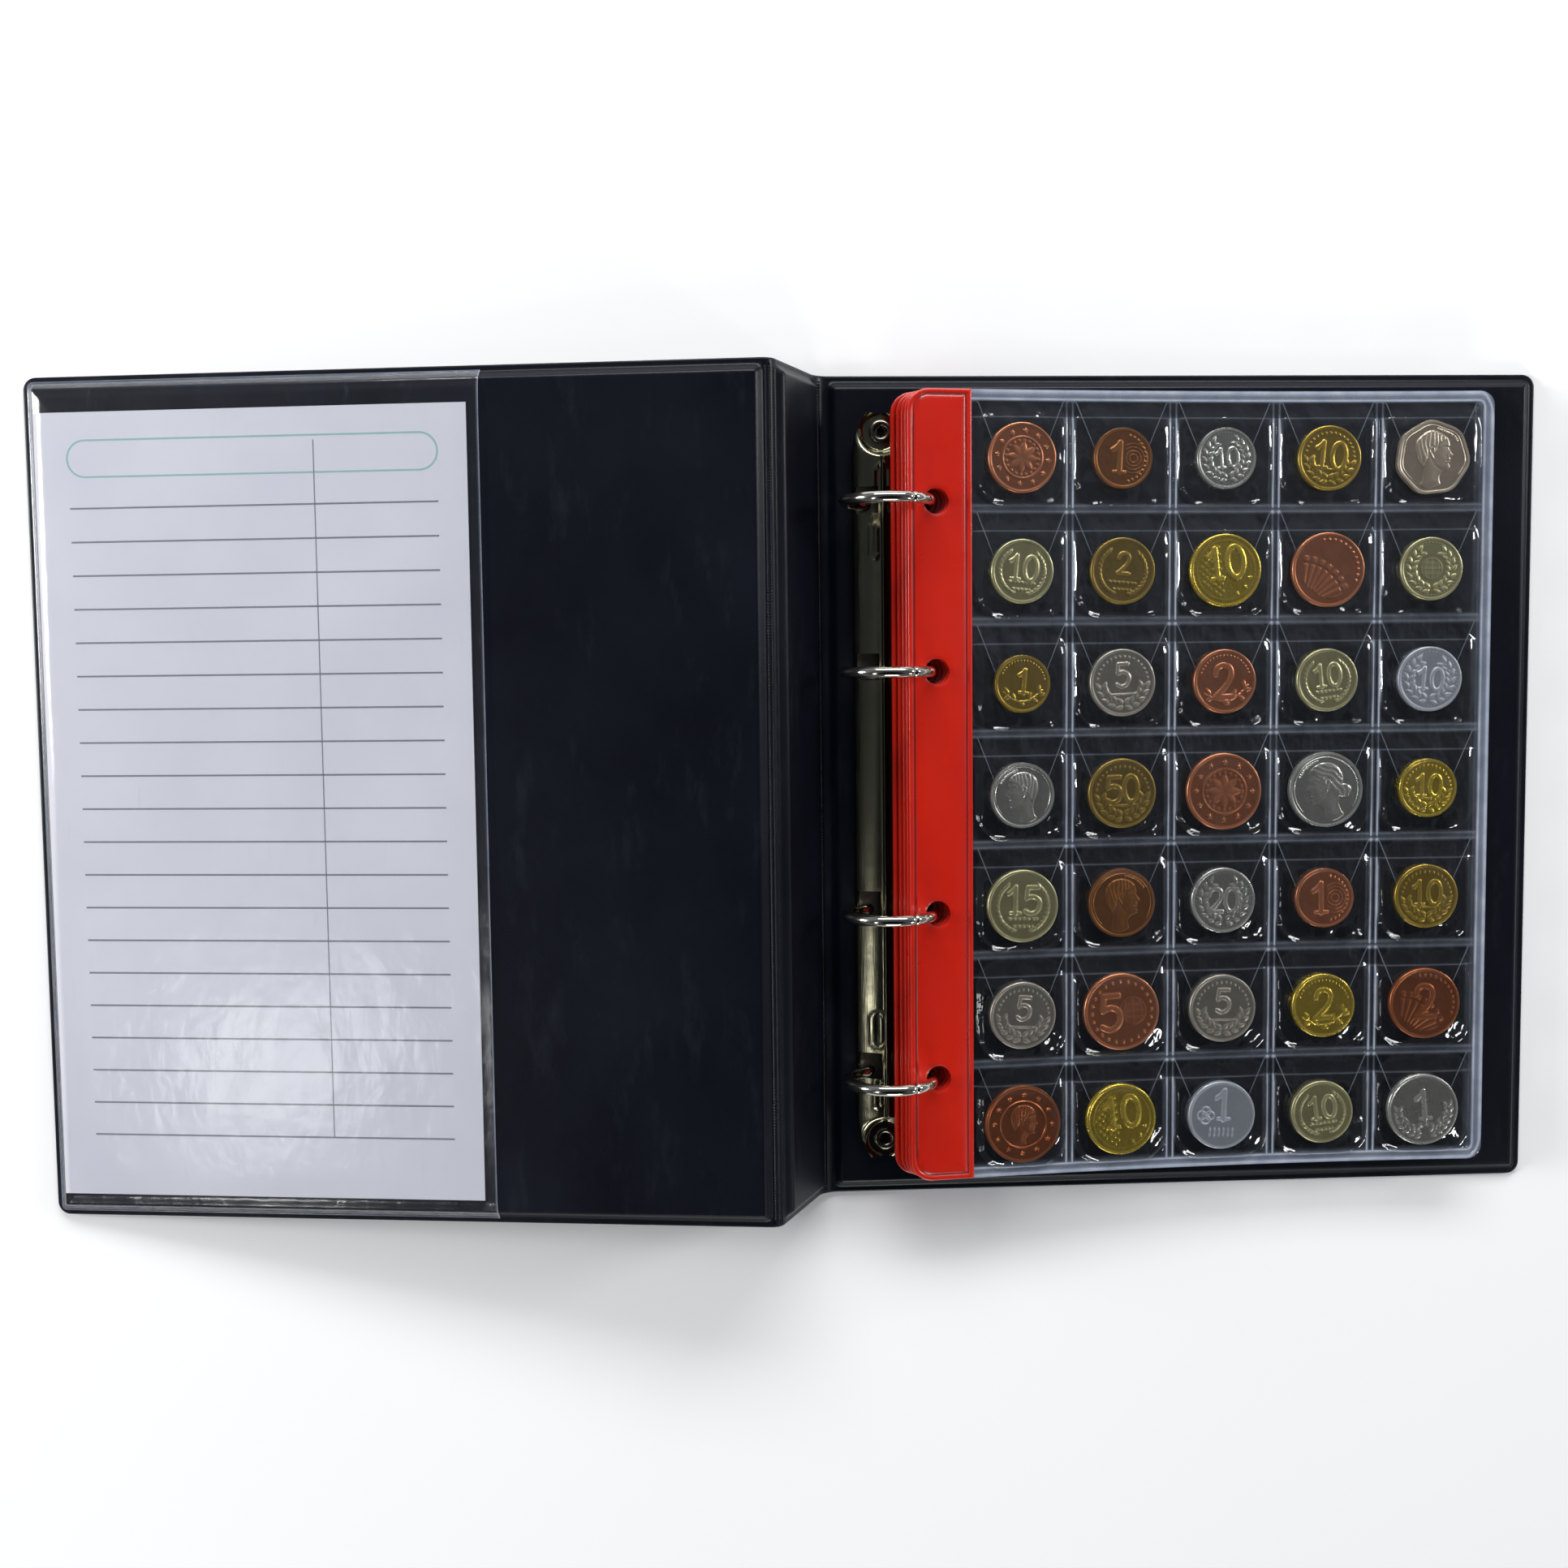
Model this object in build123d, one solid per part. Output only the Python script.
"""Four-ring coin album lying open, modelled as its separate pieces.

Album frame used while building: X runs across the covers with 0 on the back hinge line,
Y runs up the page, Z is up with 0 on the table. Millimetres throughout. Every node is moved
by SHIFT_X when it is saved, so that the origin ends under the middle of the open album.
"""
import os
from math import asin, atan2, cos, degrees, hypot, radians, sin

from build123d import *

os.makedirs("parts", exist_ok=True)

# ---------------------------------------------------------------- covers
COVER_WIDTH = 200.0          # hinge line to fore-edge
COVER_HEIGHT = 226.5
COVER_THICKNESS = 3.0        # outer sheet + board + inner sheet
HALF_COVER = COVER_THICKNESS / 2
SHEET = 0.5                  # vinyl sheet
WELD_BORDER = 4.0            # flat welded rim outside the board
COVER_CORNER = 3.5
HINGE_GAP = 1.8              # from a hinge axis to the nearest panel edge
BOARD_SETBACK = 5.0          # from a hinge axis to the board
SPINE_WIDTH = 31.5           # hinge axis to hinge axis
SPINE_LEAN = 25.4            # degrees left of upright as the album lies open

# ---------------------------------------------------------------- title pocket on the front cover
FILM_EDGE = 76.0             # open edge of the pocket, from the front hinge axis
FILM_THICKNESS = 0.2
FILM_WELD = 2.0
FILM_LIFT = 0.45             # room under the film for the card
CARD_NEAR, CARD_FAR = 79.5, 195.5
CARD_LOW, CARD_HIGH = -106.5, 103.5
CARD_THICKNESS = 0.3

# ---------------------------------------------------------------- ring mechanism
MECH_X = 16.8                # centre line of the mechanism and of the rings
MECH_Y = 0.3
RING_Z = 18.0
RING_RADIUS = 11.4           # to the middle of the wire
WIRE = 3.0
RING_OFFSETS = (77.5, 32.5, -32.5, -77.5)
SEAM_ANGLE = 62.0            # where the two half rings meet
SEAM_GAP = 0.5               # degrees
FOOT_ANGLE = 240.0           # where the left half ring leaves the circle
FOOT_BEND = 2.5
FOOT_Z = 3.9
HOUSING_HALF_WIDTH = 8.0
HOUSING_WALL_TOP = 5.4
HOUSING_TOP = 8.6
HOUSING_METAL = 0.8
HOUSING_LIP = 1.6
HOUSING_HALF_LENGTH = 92.0
TONGUE_END = 102.5
TONGUE_HALF_WIDTHS = (7.0, 4.5)
NOTCH = (-2.2, 5.0)          # along Y from each ring
NOTCH_FLOOR = 5.45
CREST_HALF_WIDTH = 1.2       # metal left between the two notches of a ring
BLADE_PIVOT = 7.0            # from the centre line to the blade's outer edge
BLADE_INNER = 0.08
BLADE_Z = 4.7
BLADE_TILT = 5.0
BLADE_HALF_LENGTH = 89.0
RIVET_OFFSET = 97.5
RIVET_SHANK = 1.6
RIVET_HEAD = 3.4
RIVET_TAIL = 3.2

# ---------------------------------------------------------------- leaves
LEAF_COUNT = 5
PAGE_WIDTH = 161.8
PAGE_HEIGHT = 212.7
PAGE_Y = 0.9
PAGE_LEFT_Z = 18.0           # height of the top leaf's left edge
PAGE_DROP = 7.2              # from the left edge to the right edge
PAGE_RADIUS = 1004.0         # gentle sag of the leaf
PAGE_STEP = 1.6              # from one leaf down to the next
STRIP_WIDTH = 17.6
STRIP_THICKNESS = 0.8
STRIP_CORNER = 6.0
PAGE_CORNER = 2.5
HOLE_DIAMETER = 6.8
HOLE_SETBACK = 7.8           # hole centre from the left edge
HOLE_PLAY = 1.8              # hole centre to wire centre on the top leaf
HOLE_PLAY_STEP = 0.25        # less on each leaf below
FOIL = 0.25
EMPTY_FOIL = 0.4

# ---------------------------------------------------------------- coin pockets of the top leaf
FIRST_POCKET = 27.0
POCKET_WIDTH = 28.65
POCKET_HEIGHT = 30.0
POCKET_ROWS = 7
POCKET_COLUMNS = 5
POCKET_WELD = 1.6
POCKET_DEPTH = 2.1
POCKET_ROOF = 0.35
COIN_SETTLE = 1.7            # coins sit this far below the pocket's middle
COIN_BED = 0.1               # above the back foil
COIN_RIM = 0.12              # height of the raised rim
COIN_RIM_WIDTH = 0.9

# metal and diameter of each coin, row by row from the top of the page
COPPER, BRASS, NICKEL_BRASS, CUPRONICKEL, ALUMINIUM = (
    "copper_coins", "brass_coins", "nickel_brass_coins", "cupronickel_coins", "aluminium_coins")
COINS = (
    ((COPPER, 18.75), (COPPER, 16.25), (CUPRONICKEL, 16.5), (BRASS, 17.5), (CUPRONICKEL, 21.5)),
    ((NICKEL_BRASS, 17.25), (BRASS, 18.0), (BRASS, 19.75), (COPPER, 20.25), (NICKEL_BRASS, 17.25)),
    ((BRASS, 15.5), (CUPRONICKEL, 18.25), (COPPER, 17.5), (NICKEL_BRASS, 17.25), (ALUMINIUM, 17.75)),
    ((CUPRONICKEL, 17.75), (BRASS, 19.0), (COPPER, 21.0), (CUPRONICKEL, 20.75), (BRASS, 16.25)),
    ((NICKEL_BRASS, 19.75), (COPPER, 18.75), (CUPRONICKEL, 18.0), (COPPER, 16.5), (BRASS, 17.75)),
    ((CUPRONICKEL, 18.5), (COPPER, 21.25), (CUPRONICKEL, 18.75), (BRASS, 17.75), (COPPER, 19.75)),
    ((COPPER, 21.25), (BRASS, 19.75), (ALUMINIUM, 19.0), (NICKEL_BRASS, 17.5), (CUPRONICKEL, 20.0)),
)
SEVEN_SIDED = (0, 4)         # row and column of the seven-sided coin

# ---------------------------------------------------------------- worked out
LEAN = radians(SPINE_LEAN)
FRONT_HINGE_X = -SPINE_WIDTH * sin(LEAN)
FRONT_HINGE_Z = HALF_COVER + SPINE_WIDTH * cos(LEAN)
FRONT_SLOPE = asin((FRONT_HINGE_Z - HALF_COVER) / COVER_WIDTH)   # fore-edge down on the table
FORE_EDGE_X = FRONT_HINGE_X - COVER_WIDTH * cos(FRONT_SLOPE) - HALF_COVER * sin(FRONT_SLOPE)
SHIFT_X = -(COVER_WIDTH + FORE_EDGE_X) / 2

BACK_PLANE = Plane(origin=(0, 0, HALF_COVER), x_dir=(1, 0, 0), z_dir=(0, 0, 1))
SPINE_PLANE = Plane(origin=(0, 0, HALF_COVER), x_dir=(-sin(LEAN), 0, cos(LEAN)),
                    z_dir=(cos(LEAN), 0, sin(LEAN)))
FRONT_PLANE = Plane(origin=(FRONT_HINGE_X, 0, FRONT_HINGE_Z),
                    x_dir=(-cos(FRONT_SLOPE), 0, -sin(FRONT_SLOPE)),
                    z_dir=(-sin(FRONT_SLOPE), 0, cos(FRONT_SLOPE)))

PAGE_CHORD = hypot(PAGE_WIDTH, PAGE_DROP)
PAGE_HALF_ANGLE = asin(PAGE_CHORD / 2 / PAGE_RADIUS)
PAGE_START_ANGLE = -atan2(PAGE_DROP, PAGE_WIDTH) - PAGE_HALF_ANGLE
PAGE_LENGTH = 2 * PAGE_HALF_ANGLE * PAGE_RADIUS


def save(name, *solids):
    """Write one node, moved so that the album's middle is at X = 0."""
    body = solids[0] if len(solids) == 1 else Compound(children=list(solids))
    export_step(Pos(SHIFT_X, 0, 0) * body, f"parts/{name}.step")


def block(x, y, z):
    """A box from three (low, high) pairs."""
    middle = Pos((x[0] + x[1]) / 2, (y[0] + y[1]) / 2, (z[0] + z[1]) / 2)
    return middle * Box(x[1] - x[0], y[1] - y[0], z[1] - z[0])


# ---------------------------------------------------------------- cover panels
def slab(near, far, half_height, low, high, corner=0.0):
    """A flat piece of a panel, its two far corners rounded."""
    piece = block((near, far), (-half_height, half_height), (low, high))
    if corner:
        corners = piece.edges().filter_by(Axis.Z).sort_by(Axis.X)[-2:]
        piece = fillet(corners, corner)
    return piece


def cover_panel(far, fore_edge):
    """Outer sheet, board and inner sheet of one panel, from its hinge axis outwards."""
    half = COVER_HEIGHT / 2
    corner = COVER_CORNER if fore_edge else 0.0
    board_far = far - WELD_BORDER if fore_edge else far + HINGE_GAP - BOARD_SETBACK
    board_half = half - WELD_BORDER
    board_low = -HALF_COVER + SHEET
    outer = slab(HINGE_GAP, far, half, -HALF_COVER, board_low, corner)
    board = slab(BOARD_SETBACK, board_far, board_half, board_low, HALF_COVER - SHEET)
    rim = slab(HINGE_GAP, far, half, board_low, board_low + SHEET, corner)
    wrap = slab(BOARD_SETBACK - SHEET, board_far + SHEET, board_half + SHEET, board_low, HALF_COVER)
    return outer, board, rim + wrap - board


def make_covers():
    names = ("outer_sheet", "board", "inner_sheet")
    back = list(cover_panel(COVER_WIDTH, True))
    back[1] -= rivet_cuts()
    back[2] -= rivet_cuts()
    for name, piece in zip(names, back):
        save(f"back_cover_{name}", BACK_PLANE * piece)
    for name, piece in zip(names, cover_panel(SPINE_WIDTH - HINGE_GAP, False)):
        save(f"spine_{name}", SPINE_PLANE * piece)
    for name, piece in zip(names, cover_panel(COVER_WIDTH, True)):
        save(f"front_cover_{name}", FRONT_PLANE * piece)


def make_title_pocket():
    """Clear film welded to the front cover on three sides, and the card it holds."""
    half = COVER_HEIGHT / 2
    board_edge = COVER_WIDTH - WELD_BORDER + SHEET
    side_in = half - WELD_BORDER + SHEET + FILM_THICKNESS
    far_in = board_edge + FILM_THICKNESS
    film_low = HALF_COVER + FILM_LIFT
    film_high = film_low + FILM_THICKNESS
    weld_low = -HALF_COVER + 2 * SHEET
    side_out, far_out = side_in + FILM_WELD, far_in + FILM_WELD
    film = block((FILM_EDGE, far_out), (-side_out, side_out), (film_low, film_high))
    film += block((FILM_EDGE, far_out), (side_in, side_out), (weld_low, film_low))
    film += block((FILM_EDGE, far_out), (-side_out, -side_in), (weld_low, film_low))
    film += block((far_in, far_out), (-side_out, side_out), (weld_low, film_low))
    save("title_pocket_film", FRONT_PLANE * film)
    card_low = HALF_COVER + (FILM_LIFT - CARD_THICKNESS) / 2
    card = block((CARD_NEAR, CARD_FAR), (-CARD_HIGH, -CARD_LOW), (card_low, card_low + CARD_THICKNESS))
    save("index_card", FRONT_PLANE * card)


# ---------------------------------------------------------------- ring mechanism
def housing_section():
    """Arched metal channel with its edges folded in underneath."""
    wide, low, top = HOUSING_HALF_WIDTH, COVER_THICKNESS, HOUSING_TOP
    narrow, lip = wide - HOUSING_METAL, wide - HOUSING_LIP
    lip_top = low + 0.6
    shoulder = HOUSING_WALL_TOP
    inside = shoulder + 0.1
    outline = [
        Line((-wide, low), (-wide, shoulder)),
        ThreePointArc((-wide, shoulder), (0, top), (wide, shoulder)),
        Line((wide, shoulder), (wide, low)),
        Polyline((wide, low), (lip, low), (lip, lip_top), (narrow, lip_top), (narrow, inside)),
        ThreePointArc((narrow, inside), (0, top - HOUSING_METAL), (-narrow, inside)),
        Polyline((-narrow, inside), (-narrow, lip_top), (-lip, lip_top), (-lip, low), (-wide, low)),
    ]
    return Plane.XZ * make_face(outline)


def housing_end(side):
    """End wall of the channel and the riveted tongue beyond it."""
    wide, low, shoulder = HOUSING_HALF_WIDTH, COVER_THICKNESS, HOUSING_WALL_TOP
    wall_outline = [
        Polyline((-wide, shoulder), (-wide, low), (wide, low), (wide, shoulder)),
        ThreePointArc((wide, shoulder), (0, HOUSING_TOP), (-wide, shoulder)),
    ]
    wall = extrude(Plane.XZ * make_face(wall_outline), HOUSING_METAL / 2, both=True)
    wall = Pos(0, side * (HOUSING_HALF_LENGTH - HOUSING_METAL / 2), 0) * wall
    start, finish = side * (HOUSING_HALF_LENGTH - HOUSING_METAL), side * TONGUE_END
    root, tip = TONGUE_HALF_WIDTHS
    plan = Polyline((-root, start), (-tip, finish), (tip, finish), (root, start), close=True)
    tongue = extrude(make_face(plan), HOUSING_METAL)
    tips = tongue.edges().filter_by(Axis.Z).sort_by(Axis.Y)
    tongue = fillet(tips[-2:] if side > 0 else tips[:2], tip * 0.8)
    return wall + Pos(0, 0, low) * tongue


def make_housing():
    housing = extrude(housing_section(), HOUSING_HALF_LENGTH, both=True)
    housing += housing_end(1) + housing_end(-1)
    for ring_y in RING_OFFSETS:
        for side in (-1, 1):
            span = sorted((side * CREST_HALF_WIDTH, side * (HOUSING_HALF_WIDTH + 0.1)))
            along = (ring_y + NOTCH[0], ring_y + NOTCH[1])
            housing -= block(span, along, (NOTCH_FLOOR, HOUSING_TOP + 1))
    for side in (-1, 1):
        housing -= Pos(0, side * RIVET_OFFSET, COVER_THICKNESS) * Cylinder(RIVET_SHANK, 4)
    save("ring_housing", Pos(MECH_X, MECH_Y, 0) * housing)


def half_ring(side, ring_y):
    """One half ring, side -1 for the left half: round wire ending in a straight foot."""
    seam = SEAM_ANGLE - side * SEAM_GAP / 2
    foot = FOOT_ANGLE if side < 0 else -(FOOT_ANGLE - 180.0)
    round_part = CenterArc((0, RING_Z), RING_RADIUS, seam, foot - seam)
    bend_x = side * (-RING_RADIUS * cos(radians(FOOT_ANGLE)))
    bend_z = RING_Z + RING_RADIUS * sin(radians(FOOT_ANGLE))
    turn = radians(270.0 - FOOT_ANGLE)
    centre_x = bend_x + side * FOOT_BEND * sin(turn)
    centre_z = bend_z - FOOT_BEND * cos(turn)
    middle = radians(270.0 - FOOT_ANGLE) + (radians(90.0) - turn) / 2
    on_bend = (centre_x - side * FOOT_BEND * sin(middle), centre_z + FOOT_BEND * cos(middle))
    ankle = (centre_x - side * FOOT_BEND, centre_z)
    bend = ThreePointArc((bend_x, bend_z), on_bend, ankle)
    leg = Line(ankle, (ankle[0], FOOT_Z))
    path = Plane.XZ * Wire([round_part, bend, leg])
    wire = sweep((path ^ 0) * Circle(WIRE / 2), path=path)
    return Pos(MECH_X, MECH_Y + ring_y, 0) * wire


def blade(side):
    """Hinged plate that carries the four half rings of one side."""
    width = BLADE_PIVOT - BLADE_INNER
    plate = Pos(-side * width / 2, 0, 0) * Box(width, 2 * BLADE_HALF_LENGTH, HOUSING_METAL)
    plate = Rot(0, -side * BLADE_TILT, 0) * plate
    return Pos(MECH_X + side * BLADE_PIVOT, MECH_Y, BLADE_Z) * plate


def make_rings():
    for word, side in (("left", -1), ("right", 1)):
        plate = blade(side)
        for number, ring_y in enumerate(RING_OFFSETS, 1):
            ring = half_ring(side, ring_y)
            plate -= ring
            save(f"{word}_half_ring_{number}", ring)
        save(f"{word}_blade", plate)


def rivet_cuts():
    """Room for the rivets in the back cover, in the panel's own frame."""
    cuts = Part()
    for side in (-1, 1):
        spot = Pos(MECH_X, MECH_Y + side * RIVET_OFFSET, 0)
        cuts += spot * Cylinder(RIVET_SHANK, 4)
        tail = Pos(0, 0, -HALF_COVER + 1.5 * SHEET) * Cylinder(RIVET_TAIL, SHEET)
        cuts += spot * tail
    return cuts


def make_rivets():
    """Tubular rivets: head on the housing, tail spread inside the cover board."""
    head_low = COVER_THICKNESS + HOUSING_METAL
    for word, side in (("top", 1), ("bottom", -1)):
        profile = Plane.XZ * make_face(Polyline(
            (0.9, 2 * SHEET), (0.9, head_low), (1.5, head_low + 0.9), (2.6, head_low + 0.9),
            (RIVET_HEAD, head_low), (RIVET_SHANK, head_low), (RIVET_SHANK, 2 * SHEET),
            (RIVET_TAIL, 2 * SHEET), (RIVET_TAIL, SHEET), (0.9, SHEET), close=True))
        rivet = revolve(profile, Axis.Z)
        save(f"housing_rivet_{word}", Pos(MECH_X, MECH_Y + side * RIVET_OFFSET, 0) * rivet)


# ---------------------------------------------------------------- leaves
def leaf_point(along, above):
    """Point of a leaf's curved section: distance along it, height above its middle surface."""
    angle = PAGE_START_ANGLE + along / PAGE_RADIUS
    radius = PAGE_RADIUS - above
    x = -PAGE_RADIUS * sin(PAGE_START_ANGLE) + radius * sin(angle)
    z = PAGE_RADIUS * cos(PAGE_START_ANGLE) - radius * cos(angle)
    return (x, z)


def leaf_angle(along):
    """Slope of the leaf there, in degrees, positive where it rises to the right."""
    return degrees(PAGE_START_ANGLE + along / PAGE_RADIUS)


def band(start, finish, low, high):
    """A curved sheet of the leaf, the full height of the page."""
    middle = (start + finish) / 2
    outline = [
        ThreePointArc(leaf_point(start, low), leaf_point(middle, low), leaf_point(finish, low)),
        Line(leaf_point(finish, low), leaf_point(finish, high)),
        ThreePointArc(leaf_point(finish, high), leaf_point(middle, high), leaf_point(start, high)),
        Line(leaf_point(start, high), leaf_point(start, low)),
    ]
    return extrude(Plane.XZ * make_face(outline), PAGE_HEIGHT / 2, both=True)


def plan_prism(near, far, left_corner, right_corner):
    """Upright prism with the leaf's rounded outline, to trim a band with."""
    prism = block((near, far), (-PAGE_HEIGHT / 2, PAGE_HEIGHT / 2), (-30, 30))
    uprights = prism.edges().filter_by(Axis.Z).sort_by(Axis.X)
    if left_corner:
        prism = fillet(uprights[:2], left_corner)
        uprights = prism.edges().filter_by(Axis.Z).sort_by(Axis.X)
    if right_corner:
        prism = fillet(uprights[-2:], right_corner)
    return prism


def leaf_place(number):
    """Where leaf number 1 (top) to 5 hangs on the rings."""
    hole_x, hole_z = leaf_point(HOLE_SETBACK, 0)
    left_z = PAGE_LEFT_Z - PAGE_STEP * (number - 1)
    rise = left_z + hole_z - RING_Z
    wire_x = MECH_X + (RING_RADIUS ** 2 - rise ** 2) ** 0.5
    play = HOLE_PLAY - HOLE_PLAY_STEP * (number - 1)
    return Pos(wire_x + play - hole_x, PAGE_Y, left_z)


def strip():
    """Red punched strip at the leaf's binding edge."""
    piece = band(0, STRIP_WIDTH, -STRIP_THICKNESS / 2, STRIP_THICKNESS / 2)
    piece = piece & plan_prism(-5, leaf_point(STRIP_WIDTH, 0)[0] + 5, 0, 0)
    outline = plan_prism(leaf_point(0, 0)[0] - 0.06, 60, STRIP_CORNER, 0)
    piece = piece & outline
    hole_x, hole_z = leaf_point(HOLE_SETBACK, 0)
    for ring_y in RING_OFFSETS:
        punch = Rot(0, -leaf_angle(HOLE_SETBACK), 0) * Cylinder(HOLE_DIAMETER / 2, 10)
        piece -= Pos(hole_x, MECH_Y - PAGE_Y + ring_y, hole_z) * punch
    return piece


def sheet(low, high):
    """Clear sheet from the strip to the fore-edge."""
    right_x = leaf_point(PAGE_LENGTH, 0)[0]
    trim = plan_prism(0, right_x + 0.2, 0, PAGE_CORNER)
    return band(STRIP_WIDTH, PAGE_LENGTH, low, high) & trim


def column_middle(column):
    """Distance along the leaf to the middle of a pocket column."""
    if column == 0:
        return STRIP_WIDTH + FIRST_POCKET / 2
    return STRIP_WIDTH + FIRST_POCKET + POCKET_WIDTH * (column - 0.5)


def row_middle(row):
    return POCKET_HEIGHT * ((POCKET_ROWS - 1) / 2 - row)


def at_pocket(column, y, above):
    """Placement square to the leaf over the middle of a column."""
    x, z = leaf_point(column_middle(column), above)
    return Pos(x, y, z) * Rot(0, -leaf_angle(column_middle(column)), 0)


def pocket_foil():
    """Front foil of the coin leaf: raised pockets between weld lines."""
    back_top = -STRIP_THICKNESS / 2 + FOIL
    foil = sheet(back_top, back_top + POCKET_DEPTH + POCKET_ROOF)
    for column in range(POCKET_COLUMNS):
        width = (FIRST_POCKET if column == 0 else POCKET_WIDTH) - POCKET_WELD
        for row in range(POCKET_ROWS):
            room = Box(width, POCKET_HEIGHT - POCKET_WELD, 2 * POCKET_DEPTH)
            foil -= at_pocket(column, row_middle(row), back_top) * room
    return foil


def make_leaves():
    for number in range(1, LEAF_COUNT + 1):
        place = leaf_place(number)
        save(f"leaf_{number}_strip", place * strip())
        bottom = -STRIP_THICKNESS / 2
        foil = FOIL if number == 1 else EMPTY_FOIL
        save(f"leaf_{number}_back_foil", place * sheet(bottom, bottom + foil))
        front = pocket_foil() if number == 1 else sheet(bottom + foil, bottom + 2 * foil)
        save(f"leaf_{number}_front_foil", place * front)


# ---------------------------------------------------------------- coins
def coin(diameter, seven_sided):
    """Struck blank with a raised rim on both faces, lying on its back."""
    radius = diameter / 2
    thickness = 1.25 + diameter / 50.0
    if seven_sided:
        blank = extrude(RegularPolygon(radius, 7, rotation=90), thickness)
        blank = fillet(blank.edges().filter_by(Axis.Z), radius / 2)
        field = extrude(RegularPolygon(radius - COIN_RIM_WIDTH, 7, rotation=90), COIN_RIM)
        field = fillet(field.edges().filter_by(Axis.Z), radius / 2)
    else:
        blank = Pos(0, 0, thickness / 2) * Cylinder(radius, thickness)
        blank = chamfer(blank.edges(), 0.1)
        field = Pos(0, 0, COIN_RIM / 2) * Cylinder(radius - COIN_RIM_WIDTH, COIN_RIM)
    return blank - field - Pos(0, 0, thickness - COIN_RIM) * field


def make_coins():
    place = leaf_place(1)
    bed = -STRIP_THICKNESS / 2 + FOIL + COIN_BED
    metals = {}
    for row, line in enumerate(COINS):
        for column, (metal, diameter) in enumerate(line):
            piece = coin(diameter, (row, column) == SEVEN_SIDED)
            spot = place * at_pocket(column, row_middle(row) - COIN_SETTLE, bed)
            metals.setdefault(metal, []).append(spot * piece)
    for metal, pieces in metals.items():
        save(metal, *pieces)


make_covers()
make_title_pocket()
make_housing()
make_rings()
make_rivets()
make_leaves()
make_coins()
